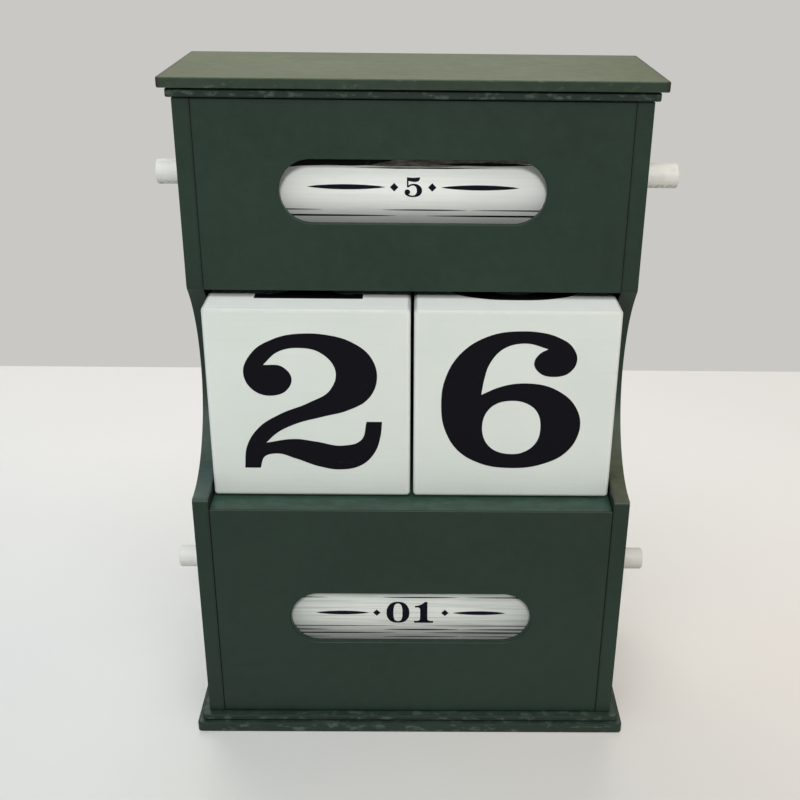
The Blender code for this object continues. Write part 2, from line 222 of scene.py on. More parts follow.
# Outlines of the figures, in millimetres about the middle of a cube's face
FIGURES = {
    "0": ["0,18.75 8.6,16.7 13.9,10.6 16,0.65 13.9,-9.3 8.6,-15.4 0,-17.45 -8.6,-15.4 -13.9,-9.3 -16,0.65"
          " -13.9,10.6 -8.6,16.7",
          "0,15.95 -3.9,14.2 -5.7,9 -6.2,0.65 -5.7,-7.7 -3.9,-12.9 0,-14.65 3.9,-12.9 5.7,-7.7 6.2,0.65"
          " 5.7,9 3.9,14.2"],
    "1": ["-13.25,-17.4* 13.25,-17.4* 13.25,-13.7* 8,-13.5 5.7,-12.0 5.1,-9* 5.1,18.6* 1.4,18.6* -1.8,15.6"
          " -6.5,13.2 -12.2,12.2* -12.2,9.4* -8.2,9.7 -5.8,8.6 -5.1,6* -5.1,-9* -5.7,-12.0 -8,-13.5"
          " -13.25,-13.7*"],
    "2": ["-0.2,18.75 -8.3,17.2 -13.5,13.7 -15.7,7.9 -13.4,3.9 -8.9,2.6 -5.1,4.3 -4,6.9 -6,10.1 -10.8,10.65*"
          " -7.3,13.9 -1.9,15.05 3.4,13.7 6.8,8.6 5.3,4.2 0,0.8 -7.2,-2.3 -12.5,-5.8 -15.9,-11.1"
          " -16.7,-17.1* -12.75,-17.1* -11.5,-13.9 -8.5,-13.1 -3.9,-14.4 2,-16.6 7.5,-17.45 12.9,-16.1"
          " 16.1,-12.7 17.6,-8.2 18,-4.25* 14.15,-4.25* 12.6,-9.4 8.1,-10.8 1.8,-9.8 -3.6,-9.05"
          " -11,-10.1* -8.3,-7.5 -4.1,-5.2 3.5,-2.9 9.6,-1.2 14.9,2.2 16.85,7.5 15.5,12.6 10.6,16.7"
          " 4.5,18.45"],
    "3": ["0.5,18.75 8.6,17.3 13,13.2 13.9,9.6 12,4.7 7.6,1.5 13.2,-1.6 16.3,-7.6 14.2,-13.2 8,-16.6"
          " -1,-17.45 -9.6,-16 -14.6,-12.3 -15.9,-7.9 -14,-4.2 -10.4,-3 -6.7,-4.5 -5.4,-7.9 -6.6,-11"
          " -8.6,-12.2* -5,-14 -1,-14.65 3.6,-13.2 6,-7.8 3.9,-2.4 -1.2,-0.75 -4.9,-0.6* -4.9,2.4*"
          " -1.2,2.6 3.2,4.4 4.6,9.2 3.4,14 0,15.9 -4.4,15.1 -7.7,12.9* -5.3,11.6 -4.6,8.9 -5.9,5.9"
          " -9,4.6 -12.6,6 -13.9,9.3 -11.6,14.2 -6.2,17.7"],
    "4": ["11.4,18.7* 2.9,18.7* -16.8,-5.9* -16.8,-9.4* 1.6,-9.4* 1.6,-11.5* 0.8,-13.7 -1.2,-14.5"
          " -4.4,-14.6* -4.4,-17.4* 17,-17.4* 17,-14.6* 14,-14.5 12.1,-13.7 11.4,-11.5* 11.4,-9.4*"
          " 17.2,-9.4* 17.2,-5.9* 11.4,-5.9*",
          "1.6,11.2* 1.6,-5.9* -11.6,-5.9*"],
    "5": ["-11.6,18.7* -4,18 3,18 12.4,19* 12.2,15.4 9.6,12 4.6,10.6 -2,10.9 -8.7,12.2* -8.7,4.2*"
          " -4.6,6.3 1.5,7.1 9.6,5.2 14.9,0.6 16.4,-5.2 14.6,-11.4 8.6,-16.1 -0.4,-17.5 -8.8,-16.3"
          " -14.4,-12.8 -16,-8.4 -14.3,-4.6 -10.7,-3.3 -7,-4.8 -5.6,-8.2 -6.8,-11.3 -8.9,-12.5*"
          " -5.2,-14.1 -0.9,-14.7 3.9,-13 6.4,-8.9 6.5,-3.4 4.4,1.8 0,3.9 -4.8,3.1 -8.2,0.6* -11.6,0.6*"],
    "6": ["0.9,19.7 -6.4,18.6 -13.2,14.4 -17.2,7.7 -18.2,0.5 -17.1,-6.5 -13.8,-12 -8.4,-15.4 -0.6,-16.75"
          " 7.3,-15.7 13,-12.7 16.2,-7.4 16.55,-5 15,0.3 10.3,4.5 2.6,6.3 -3.8,5.3 -8.35,3.2* -7.8,7"
          " -6.4,11.6 -3.3,15.2 2,16.6 7.5,15.2* 5.4,13.9 4.25,11.3 5.6,9.1 9.2,8.05 13,9.2 14.65,12.2"
          " 13.5,15.6 9.6,18.3 4.9,19.5",
          "-0.9,1.65 2.3,1.2 5,-0.5 6.65,-5.7 5.8,-9.5 3.6,-11.8 -1.1,-12.8 -5.5,-11.2 -7.9,-5.5 -5.6,0.1"],
    "7": ["-15.6,18.7* 15.4,18.7* 15.4,15.4* 9.6,8.4 5.5,0.4 3.8,-8 3.4,-17.4* -7.2,-17.4* -6.4,-9"
          " -3,-0.8 3.2,6.6 8.8,11.8* -4,11.6 -9.4,11.4 -11.4,9.6 -12.4,6.2* -15.6,6.2*"],
    "8": ["0,18.75 8.6,17.3 13.2,13.2 14,9.5 12.2,5 8.6,1.5 13.6,-1.9 16.8,-7.7 14.6,-12.9 9,-16.3"
          " 0,-17.5 -9,-16.3 -14.6,-12.9 -16.8,-7.7 -13.6,-1.9 -8.6,1.5 -12.2,5 -14,9.5 -13.2,13.2"
          " -8.6,17.3",
          "0.2,15.9 -3.8,14.2 -5,10.4 -4,6.6 0,4.6 3.6,6.2 5,10.2 4,14.2",
          "0,-1 -4.8,-3 -6.4,-7.4 -4.8,-11.6 0,-13.4 4.8,-11.6 6.4,-7.4 4.8,-3.2"],
}


def smooth_outline(text, steps):
    """Points of a closed outline: a smooth curve joins its knots, and a star marks a corner."""
    knots = []
    for word in text.split():
        across, up = word.rstrip("*").split(",")
        knots.append((Vector((float(across), float(up))), word.endswith("*")))
    points = []
    count = len(knots)
    for index in range(count):
        start, start_corner = knots[index]
        end, end_corner = knots[(index + 1) % count]
        before = knots[index - 1][0]
        after = knots[(index + 2) % count][0]
        chord = end - start
        out_of_start = chord / 3
        into_end = chord / 3
        if not start_corner:
            out_of_start = knot_tangent(before, start, end) * chord.length * CURVE_HANDLE
        if not end_corner:
            into_end = knot_tangent(start, end, after) * chord.length * CURVE_HANDLE
        straight = start_corner and end_corner
        for step in range(1 if straight else steps):
            points.append(bezier(start, start + out_of_start, end - into_end, end, step / steps))
    return points


def knot_tangent(before, knot, after):
    """Direction of a smooth curve through the middle one of three knots."""
    entering = knot - before
    leaving = after - knot
    return (entering / entering.length_squared + leaving / leaving.length_squared).normalized()


def bezier(a, b, c, d, t):
    """Point of a cubic curve."""
    s = 1 - t
    return a * s ** 3 + b * 3 * s * s * t + c * 3 * s * t * t + d * t ** 3


def arc(centre, radius, start, end, steps):
    """Points along a circular arc, both ends included, with angles in radians."""
    points = []
    for index in range(steps + 1):
        angle = start + (end - start) * index / steps
        points.append((centre[0] + radius * math.cos(angle), centre[1] + radius * math.sin(angle)))
    return points


def circle(centre, radius, steps):
    """Points of a full circle, the first one not repeated."""
    return arc(centre, radius, 0, 2 * math.pi, steps)[:-1]


def rectangle(low_x, low_y, high_x, high_y):
    """Corners of a rectangle, anticlockwise."""
    return [(low_x, low_y), (high_x, low_y), (high_x, high_y), (low_x, high_y)]


def rounded_rectangle(low_x, low_y, high_x, high_y, radius):
    """Rectangle with rounded corners, anticlockwise."""
    centres = ((high_x - radius, low_y + radius), (high_x - radius, high_y - radius),
               (low_x + radius, high_y - radius), (low_x + radius, low_y + radius))
    outline = []
    for index, centre in enumerate(centres):
        start = math.radians(90 * index - 90)
        outline += arc(centre, radius, start, start + math.pi / 2, CORNER_STEPS)
    return outline


def flat_mesh(outlines, thickness):
    """Closed bmesh of a plate in the XY plane, centred on it; the outlines inside the first are holes."""
    curve = bpy.data.curves.new("outline", "CURVE")
    curve.dimensions = "2D"
    curve.fill_mode = "BOTH"
    curve.extrude = thickness / 2
    for outline in outlines:
        spline = curve.splines.new("POLY")
        spline.points.add(len(outline) - 1)
        for point, (across, up) in zip(spline.points, outline):
            point.co = (across, up, 0, 1)
        spline.use_cyclic_u = True
    holder = linked_object("outline", curve)
    graph = bpy.context.evaluated_depsgraph_get()
    plate = bmesh.new()
    plate.from_mesh(holder.evaluated_get(graph).to_mesh())
    bpy.data.objects.remove(holder)
    bpy.data.curves.remove(curve)
    bmesh.ops.remove_doubles(plate, verts=plate.verts, dist=WELD_DISTANCE)
    bmesh.ops.recalc_face_normals(plate, faces=plate.faces)
    return plate


def dissolve_flat(shape):
    """Merge triangles that lie in one plane."""
    bmesh.ops.dissolve_limit(shape, angle_limit=FLAT_JOINT_RADIANS, verts=shape.verts, edges=shape.edges,
                             delimit={"NORMAL"})


def linked_object(name, data):
    """Object in the scene from a mesh, curve, lamp or camera."""
    item = bpy.data.objects.new(name, data)
    bpy.context.scene.collection.objects.link(item)
    return item


def mesh_object(name, shape, materials):
    """Object from a bmesh, which is used up."""
    mesh = bpy.data.meshes.new(name)
    shape.to_mesh(mesh)
    shape.free()
    for material in materials:
        mesh.materials.append(material)
    return linked_object(name, mesh)


def make_piece(name, shape, materials, body, stands_for=None):
    """Object from a bmesh, riding on a CAD body."""
    piece = mesh_object(name, shape, materials)
    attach(piece, body)
    if stands_for:
        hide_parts(stands_for)
    return piece


def round_rims(piece, radius, segments):
    """Small round on every hard edge; the rounded faces take the second material."""
    for face in piece.data.polygons:
        face.use_smooth = True
    bevel = piece.modifiers.new("rims", "BEVEL")
    bevel.width = radius
    bevel.segments = segments
    bevel.limit_method = "ANGLE"
    bevel.angle_limit = math.radians(HARD_EDGE_ANGLE)
    bevel.harden_normals = True
    bevel.material = 1


def smooth_by_angle(piece, degrees):
    """Smooth shading that keeps hard edges."""
    for face in piece.data.polygons:
        face.use_smooth = True
    piece.data.set_sharp_from_angle(angle=math.radians(degrees))


# Plates that face each way: each turns a plate of the XY plane and puts it in its place
def facing_x(x):
    """Plate whose first axis is Y and second is Z."""
    return Matrix(((0, 0, 1, x), (1, 0, 0, 0), (0, 1, 0, 0), (0, 0, 0, 1)))


def facing_y(y):
    """Plate whose first axis is X and second is Z."""
    return Matrix(((1, 0, 0, 0), (0, 0, -1, y), (0, 1, 0, 0), (0, 0, 0, 1)))


def facing_z(z):
    """Plate whose first axis is X and second is Y."""
    return Matrix.Translation((0, 0, z))


def board(name, stands_for, outlines, placing, thickness, paints, rim=BOARD_RIM):
    """Painted board that stands for a CAD node of the case."""
    shape = flat_mesh(outlines, thickness)
    dissolve_flat(shape)
    shape.transform(placing)
    bmesh.ops.recalc_face_normals(shape, faces=shape.faces)
    piece = make_piece(name, shape, paints, "case", stands_for)
    round_rims(piece, rim, BOARD_RIM_STEPS)


# Shader nodes
def feed(tree, socket, value):
    """Give a socket a link or a fixed value."""
    if isinstance(value, bpy.types.NodeSocket):
        tree.links.new(value, socket)
    else:
        socket.default_value = value


def node(tree, kind, **sockets):
    """New node with its inputs, named with an underscore for each space."""
    item = tree.nodes.new(kind)
    for name, value in sockets.items():
        feed(tree, item.inputs[name.replace("_", " ")], value)
    return item


def start_material(name):
    """New material with its tree, its shader and the place on the object in metres."""
    material = bpy.data.materials.new(name)
    material.use_nodes = True
    tree = material.node_tree
    place = node(tree, "ShaderNodeTexCoord").outputs["Object"]
    return material, tree, tree.nodes["Principled BSDF"], place


def surface(tree, shader, tone, roughness, height, depth, strength):
    """Give a shader its colour, its roughness and a bump of a depth in metres."""
    tree.links.new(tone, shader.inputs["Base Color"])
    tree.links.new(roughness, shader.inputs["Roughness"])
    bump = node(tree, "ShaderNodeBump", Height=height, Strength=strength, Distance=depth)
    tree.links.new(bump.outputs[0], shader.inputs["Normal"])


def stretched(tree, place, scale, location=(0, 0, 0)):
    """Place moved and then scaled along each axis."""
    moved = node(tree, "ShaderNodeVectorMath", Vector=place)
    moved.operation = "SUBTRACT"
    moved.inputs[1].default_value = location
    scaled = node(tree, "ShaderNodeVectorMath", Vector=moved.outputs[0])
    scaled.operation = "MULTIPLY"
    scaled.inputs[1].default_value = scale
    return scaled.outputs[0]


def noise(tree, place, scale, detail, roughness, distortion=0.0):
    """Noise from 0 to 1, with its scale in bumps per metre."""
    return node(tree, "ShaderNodeTexNoise", Vector=place, Scale=scale, Detail=detail,
                Roughness=roughness, Distortion=distortion).outputs[0]


def drawn_noise(tree, place, scales, detail, roughness, distortion=0.0):
    """Noise with a scale of its own along each axis."""
    return noise(tree, stretched(tree, place, scales), 1, detail, roughness, distortion)


def spread(tree, value, low, high, to_low=0.0, to_high=1.0):
    """Value stretched from one range to another, and held inside it."""
    return node(tree, "ShaderNodeMapRange", Value=value, From_Min=low, From_Max=high,
                To_Min=to_low, To_Max=to_high).outputs[0]


def combined(tree, operation, first, second):
    """Sum, product or the like of two values."""
    item = tree.nodes.new("ShaderNodeMath")
    item.operation = operation
    feed(tree, item.inputs[0], first)
    feed(tree, item.inputs[1], second)
    return item.outputs[0]


def plus_share(tree, first, second, share):
    """First value and a share of the second."""
    return combined(tree, "ADD", first, combined(tree, "MULTIPLY", second, share))


def absolute(tree, value):
    """Value without its sign."""
    return combined(tree, "ABSOLUTE", value, 0.0)


def coordinate(tree, vector, axis):
    """One coordinate of a vector."""
    return node(tree, "ShaderNodeSeparateXYZ", Vector=vector).outputs[axis]


def upward_part(tree):
    """Height of the surface's normal: 1 where it faces up, -1 where it faces down."""
    return coordinate(tree, node(tree, "ShaderNodeNewGeometry").outputs["Normal"], "Z")


def mixed(tree, factor, first, second):
    """Mix of two colours, whose sockets come after those for plain values and vectors."""
    item = tree.nodes.new("ShaderNodeMix")
    item.data_type = "RGBA"
    feed(tree, item.inputs[0], factor)
    feed(tree, item.inputs[6], first)
    feed(tree, item.inputs[7], second)
    return item.outputs[2]


def board_paint(name, tones, worn_from, roughness, dust_and_light_tone, dust_and_light_share, least_dust_and_light=0.25, jointed=False,
                shine=0.32, bare_ends=False):
    """Satin paint on fibre board: cloudy tone, fine orange peel, worn spots, and dust with painted top light
    on what faces up.
    """
    material, tree, shader, place = start_material(name)
    shader.inputs["Specular IOR Level"].default_value = shine
    deep, pale, worn = ((*tone, 1) for tone in tones)
    clouds = noise(tree, place, scale=24, detail=4, roughness=0.55)
    mottle = noise(tree, place, scale=310, detail=4, roughness=0.6)
    peel = noise(tree, place, scale=1500, detail=2, roughness=0.5)
    specks = noise(tree, place, scale=2600, detail=1, roughness=0.4)
    strokes = drawn_noise(tree, place, (38, 38, 900), detail=3, roughness=0.6)
    patches = drawn_noise(tree, place, (330, 330, 620), detail=4, roughness=0.62)
    drifts = drawn_noise(tree, place, (200, 330, 200), detail=7, roughness=0.78)
    cloudy = plus_share(tree, combined(tree, "MULTIPLY", clouds, 0.6), mottle, 0.4)
    tone = mixed(tree, spread(tree, cloudy, 0.38, 0.62), deep, pale)
    tone = mixed(tree, spread(tree, specks, 0.74, 0.80, 0, 0.35), tone, worn)
    tone = mixed(tree, spread(tree, patches, worn_from, worn_from + 0.10), tone, worn)
    # Dust and painted top light: a lighter tone on what faces up
    upward = spread(tree, upward_part(tree), 0.3, 0.95)
    dust_and_top_light = combined(tree, "MULTIPLY", upward, spread(tree, drifts, 0.42, 0.62, least_dust_and_light * dust_and_light_share, dust_and_light_share))
    tone = mixed(tree, dust_and_top_light, tone, (*dust_and_light_tone, 1))
    if jointed:
        tone = mixed(tree, joint_shade(tree, place, patches), tone, JOINT_TONE)
    if bare_ends:
        reach = absolute(tree, coordinate(tree, place, "X"))
        bare = spread(tree, reach, BARE_END_PLACE, BARE_END_PLACE + BARE_END_FADE, 0.0, BARE_END_SHARE)
        tone = mixed(tree, bare, tone, BARE_END_TONE)
    roughness = spread(tree, cloudy, 0.35, 0.65, roughness - 0.05, roughness + 0.07)
    height = plus_share(tree, peel, strokes, 0.8)
    surface(tree, shader, tone, roughness, height, depth=0.00005, strength=0.55)
    return material


def joint_shade(tree, place, patches):
    """Darkening near the joint between a side panel and a board, of uneven width."""
    offset = combined(tree, "SUBTRACT", absolute(tree, coordinate(tree, place, "X")), JOINT_PLACE)
    uneven = plus_share(tree, absolute(tree, offset), patches, JOINT_WANDER)
    return spread(tree, uneven, JOINT_NEAR, JOINT_FAR, JOINT_SHARE, 0.0)


def cube_paint(name, clean, shaded, grime, grime_from):
    """White satin paint on a wooden cube: brush marks, grain showing through, handling marks, painted shade
    on its upper edge and painted light on its top.
    """
    material, tree, shader, place = start_material(name)
    clouds = noise(tree, place, scale=45, detail=4, roughness=0.5)
    smudge = noise(tree, place, scale=190, detail=5, roughness=0.65, distortion=0.4)
    grain = drawn_noise(tree, place, (60, 60, 1100), detail=4, roughness=0.6)
    peel = noise(tree, place, scale=1300, detail=2, roughness=0.5)
    tone = mixed(tree, spread(tree, clouds, 0.3, 0.7), (*clean, 1), (*shaded, 1))
    tone = mixed(tree, spread(tree, grain, 0.55, 0.85, 0, 0.12), tone, (*grime, 1))
    tone = mixed(tree, spread(tree, smudge, grime_from, grime_from + 0.14, 0, 0.5), tone, (*grime, 1))
    upward = upward_part(tree)
    # Painted shade on the upward part of the rounded edges, and painted light on the top faces
    tone = mixed(tree, spread(tree, upward, 0.03, 0.36, 0, 0.8), tone, CUBE_EDGE_PAINTED_SHADE)
    tone = mixed(tree, spread(tree, upward, 0.93, 0.99), tone, CUBE_TOP_PAINTED_LIGHT)
    roughness = spread(tree, smudge, 0.3, 0.7, 0.38, 0.52)
    height = plus_share(tree, peel, grain, 0.9)
    surface(tree, shader, tone, roughness, height, depth=0.00004, strength=0.5)
    return material


def print_ink(name, full, thin):
    """Black print, a little thin in places."""
    material, tree, shader, place = start_material(name)
    shader.inputs["Specular IOR Level"].default_value = INK_SHINE
    cover = noise(tree, place, scale=700, detail=4, roughness=0.7)
    tone = mixed(tree, spread(tree, cover, 0.62, 0.78), (*full, 1), (*thin, 1))
    roughness = spread(tree, cover, 0.3, 0.7, 0.42, 0.56)
    surface(tree, shader, tone, roughness, cover, depth=0.00001, strength=0.4)
    return material


def label_paper(name, clean, shaded, streaks_and_green_bounce):
    """Matt paper: fibres, streaks tinted with a painted green reflection, grey turning marks, painted shade
    on its sides.
    """
    material, tree, shader, place = start_material(name)
    clouds = noise(tree, place, scale=60, detail=3, roughness=0.5)
    fibres = noise(tree, place, scale=2400, detail=3, roughness=0.7, distortion=1.5)
    scuffs = drawn_noise(tree, place, (30, 700, 700), detail=4, roughness=0.65)
    streaked = drawn_noise(tree, place, (34, 1500, 1500), detail=4, roughness=0.6, distortion=0.3)
    tone = mixed(tree, spread(tree, clouds, 0.3, 0.7), (*clean, 1), (*shaded, 1))
    tone = mixed(tree, spread(tree, fibres, 0.55, 0.8, 0, 0.22), tone, (0.60, 0.62, 0.59, 1))
    # Streaks along the strip tinted green: real streaks and a painted reflection of the green boards
    tone = mixed(tree, spread(tree, streaked, 0.46, 0.66, 0, streaks_and_green_bounce), tone, (0.44, 0.50, 0.475, 1))
    tone = mixed(tree, spread(tree, scuffs, 0.64, 0.78, 0, 0.30), tone, (0.40, 0.42, 0.41, 1))
    # Painted shade toward the sides of the label
    across = combined(tree, "ADD", coordinate(tree, place, "X"), LABEL_SHADE_OFFSET)
    sides = spread(tree, absolute(tree, across), LABEL_SHADE_START, LABEL_SHADE_END, 0.0, LABEL_SHADE_SHARE)
    tone = mixed(tree, sides, tone, LABEL_SHADE_TONE)
    roughness = spread(tree, fibres, 0.3, 0.7, 0.58, 0.74)
    surface(tree, shader, tone, roughness, fibres, depth=0.00003, strength=0.5)
    return material


def brown_shadow_film(name):
    """Mottled brown film, the brown part of a painted shadow."""
    material, tree, shader, place = start_material(name)
    rubbed = drawn_noise(tree, place, (420, 1900, 1900), detail=5, roughness=0.7)
    tone = mixed(tree, spread(tree, rubbed, 0.36, 0.64), (0.045, 0.038, 0.032, 1), (0.30, 0.265, 0.23, 1))
    roughness = spread(tree, rubbed, 0.3, 0.7, 0.62, 0.80)
    surface(tree, shader, tone, roughness, rubbed, depth=0.00003, strength=0.6)
    return material


def dowel_coat(name, axis, right_end_darkening):
    """Thin off-white paint on a turned dowel: grain along it, rings on its ends, a darker right end and dark
    blotches underneath.
    """
    material, tree, shader, place = start_material(name)
    grain = drawn_noise(tree, place, (70, 1600, 1600), detail=4, roughness=0.6)
    clouds = noise(tree, place, scale=240, detail=4, roughness=0.6)
    centred = stretched(tree, place, (1, 1, 1), axis)
    rings = node(tree, "ShaderNodeTexWave", Vector=centred, Scale=330.0,
                 Distortion=2.5, Detail=2.0, Detail_Scale=900.0)
    rings.wave_type = "RINGS"
    rings.rings_direction = "X"
    pattern = plus_share(tree, combined(tree, "MULTIPLY", grain, 0.65), rings.outputs[1], 0.35)
    tone = mixed(tree, spread(tree, pattern, 0.35, 0.8), (0.80, 0.80, 0.755, 1), (0.69, 0.67, 0.605, 1))
    tone = mixed(tree, spread(tree, clouds, 0.54, 0.72, 0, 0.5), tone, (0.52, 0.50, 0.45, 1))
    right_end = spread(tree, coordinate(tree, centred, "X"), DOWEL_DARKENING_START, DOWEL_DARKENING_END,
                       0.0, right_end_darkening)
    tone = mixed(tree, right_end, tone, (0.48, 0.46, 0.43, 1))
    underside = spread(tree, coordinate(tree, centred, "Z"), -0.0014, -0.0027)
    underside_blotches = noise(tree, place, scale=1100, detail=4, roughness=0.62)
    marks = combined(tree, "MULTIPLY", underside, spread(tree, underside_blotches, 0.47, 0.60, 0.0, 0.75))
    tone = mixed(tree, marks, tone, (0.15, 0.15, 0.13, 1))
    roughness = spread(tree, grain, 0.3, 0.7, 0.48, 0.66)
    surface(tree, shader, tone, roughness, pattern, depth=0.00006, strength=0.6)
    return material


def fibre_board(name):
    """Bare brown fibre board with short fibres."""
    material, tree, shader, place = start_material(name)
    fibres = noise(tree, place, scale=1800, detail=5, roughness=0.75, distortion=2.0)
    clouds = noise(tree, place, scale=120, detail=3, roughness=0.5)
    tone = mixed(tree, spread(tree, fibres, 0.35, 0.7), (0.30, 0.18, 0.095, 1), (0.50, 0.34, 0.20, 1))
    tone = mixed(tree, spread(tree, clouds, 0.4, 0.7, 0, 0.4), tone, (0.36, 0.23, 0.12, 1))
    roughness = spread(tree, fibres, 0.3, 0.7, 0.75, 0.92)
    surface(tree, shader, tone, roughness, fibres, depth=0.00008, strength=0.7)
    return material


def table_top(name):
    """Pale satin table top with painted shade toward its near side, cool on the left and warm on the right.
    """
    material, tree, shader, place = start_material(name)
    clouds = noise(tree, place, scale=5, detail=3, roughness=0.5)
    fine = noise(tree, place, scale=420, detail=3, roughness=0.6)
    across, depth = (coordinate(tree, place, axis) for axis in "XY")
    # Painted shade on the near side and painted light on the far side
    near = mixed(tree, spread(tree, across, -0.12, 0.12), TABLE_NEAR_LEFT_PAINTED_COOL_SHADE, TABLE_NEAR_RIGHT_PAINTED_WARM_SHADE)
    tone = mixed(tree, spread(tree, depth, -0.14, 0.15), near, TABLE_FAR_PAINTED_LIGHT)
    tone = mixed(tree, spread(tree, clouds, 0.3, 0.7, 0.0, 0.25), tone, TABLE_CLOUD)
    roughness = spread(tree, fine, 0.3, 0.7, 0.40, 0.50)
    surface(tree, shader, tone, roughness, fine, depth=0.00003, strength=0.3)
    return material


# The up-facing tone of the shelf and inner boards is dust and painted top light
green_paint = board_paint("green_board_paint", CASE_GREEN, worn_from=0.84, roughness=0.46,
                          dust_and_light_tone=(0.041, 0.087, 0.062), dust_and_light_share=0.72, least_dust_and_light=0.45, jointed=True)
# Side panels: their up-facing tone is dust with painted cool light on the left and painted warm light on the
# right
left_cool_lit_paint = board_paint("green_left_side_paint_cool_light", CASE_GREEN, worn_from=0.84, roughness=0.46,
                         dust_and_light_tone=(0.030, 0.066, 0.062), dust_and_light_share=0.72, least_dust_and_light=0.45, jointed=True)
right_warm_lit_paint = board_paint("green_right_side_paint_warm_light", CASE_GREEN, worn_from=0.84, roughness=0.46,
                          dust_and_light_tone=(0.074, 0.076, 0.040), dust_and_light_share=0.76, least_dust_and_light=0.45, jointed=True)
panel_paint = board_paint("green_panel_paint", CASE_GREEN, worn_from=0.84, roughness=0.46,
                          dust_and_light_tone=(0.030, 0.062, 0.044), dust_and_light_share=0.20, jointed=True)
# Darker rim paint of the front panels: painted shade on their rounded edges and window sills
panel_rim = board_paint("green_panel_rim_painted_shade", PANEL_RIM_PAINTED_SHADE, worn_from=0.84, roughness=0.50,
                        dust_and_light_tone=(0.0060, 0.0165, 0.0105), dust_and_light_share=0.60, jointed=True)
green_rim = board_paint("green_board_rim", CASE_RIM_GREEN, worn_from=0.62, roughness=0.42,
                        dust_and_light_tone=(0.055, 0.105, 0.076), dust_and_light_share=0.8)
trim_paint = board_paint("green_trim_paint", TRIM_GREEN, worn_from=0.53, roughness=0.46,
                         dust_and_light_tone=(0.036, 0.062, 0.047), dust_and_light_share=0.62)
# Darker rim paint of the base and moulding: painted shade that damps the highlights on their edges
trim_rim = board_paint("green_trim_rim_painted_shade", TRIM_RIM_PAINTED_SHADE, worn_from=0.58, roughness=0.66,
                       dust_and_light_tone=(0.0085, 0.0200, 0.0134), dust_and_light_share=0.62)
# Cap paints: lighter green with painted sheen on the top and a painted highlight on the rim, besides dust
# and bare ends
cap_rim = board_paint("green_cap_rim_painted_highlight", CAP_RIM_HIGHLIGHT_GREEN, worn_from=0.60, roughness=0.50,
                      dust_and_light_tone=(0.115, 0.140, 0.072), dust_and_light_share=0.85, least_dust_and_light=0.60, shine=0.22, bare_ends=True)
cap_paint = board_paint("green_cap_paint_painted_sheen", CAP_SHEEN_GREEN, worn_from=0.60, roughness=0.46,
                        dust_and_light_tone=(0.0480, 0.0670, 0.0130), dust_and_light_share=0.95, least_dust_and_light=0.80, shine=0.20,
                        bare_ends=True)
cube_white = cube_paint("cube_white_paint", clean=(0.705, 0.75, 0.71), shaded=(0.66, 0.71, 0.67),
                        grime=(0.48, 0.50, 0.46), grime_from=0.70)
# Rim paint lighter than the faces: painted light that offsets the shading of the rounded edges, besides real
# wear
cube_rim_lightened = cube_paint("cube_rim_worn_and_painted_light", clean=(0.75, 0.79, 0.755), shaded=(0.70, 0.74, 0.70),
                      grime=(0.46, 0.46, 0.41), grime_from=0.66)
cube_ink = print_ink("cube_black_print", full=(0.0030, 0.0026, 0.0052), thin=(0.012, 0.010, 0.015))
label_ink = print_ink("label_black_print", full=(0.0030, 0.0030, 0.0100), thin=(0.045, 0.048, 0.056))
# Dark film that paints the shadow of the upper window's top edge on the weekday label
painted_shadow_dark = print_ink("painted_window_edge_shadow", full=(0.0080, 0.0095, 0.0085), thin=(0.060, 0.054, 0.046))
painted_shadow_brown = brown_shadow_film("painted_brown_shadow")
weekday_paper = label_paper("weekday_label_paper", clean=(0.92, 0.945, 0.91), shaded=(0.87, 0.90, 0.865),
                            streaks_and_green_bounce=0.10)
month_paper = label_paper("month_label_paper", clean=(0.84, 0.875, 0.83), shaded=(0.78, 0.82, 0.775),
                          streaks_and_green_bounce=0.60)
bare_board = fibre_board("bare_fibre_board")
table_white = table_top("pale_table_top")


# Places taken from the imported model
def middle(node_name):
    """Middle of a CAD node's box."""
    low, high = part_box(node_name)
    return Vector([(a + b) / 2 for a, b in zip(low, high)])


def round_size(node_name):
    """Radius and half length of a CAD node that is round about X."""
    low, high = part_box(node_name)
    return (high[2] - low[2]) / 2, (high[0] - low[0]) / 2


side_low, side_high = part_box("left_side_panel")
upper_low, upper_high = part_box("upper_front_panel")
lower_low, lower_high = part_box("lower_front_panel")
shelf_low, shelf_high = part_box("cube_shelf")
bay_low, bay_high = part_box("upper_box_floor")
back_low, back_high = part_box("back_panel")
inner_x = side_high[0]
outer_x = side_low[0]
lower_front_y = lower_low[1]
upper_front_y = upper_low[1]
cube_front_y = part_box("tens_cube")[0][1]
case_back_y = side_high[1]
weekday_axis = middle("weekday_drum")
month_axis = middle("month_drum")


def fillet_circle(front_y, fillet, centre, radius, side):
    """Centre of the fillet between a straight front edge and a circle, and where it meets the circle."""
    across = front_y + fillet - centre[0]
    reach = radius + fillet
    place = (front_y + fillet, centre[1] + side * math.sqrt(reach ** 2 - across ** 2))
    return place, math.atan2(place[1] - centre[1], across)


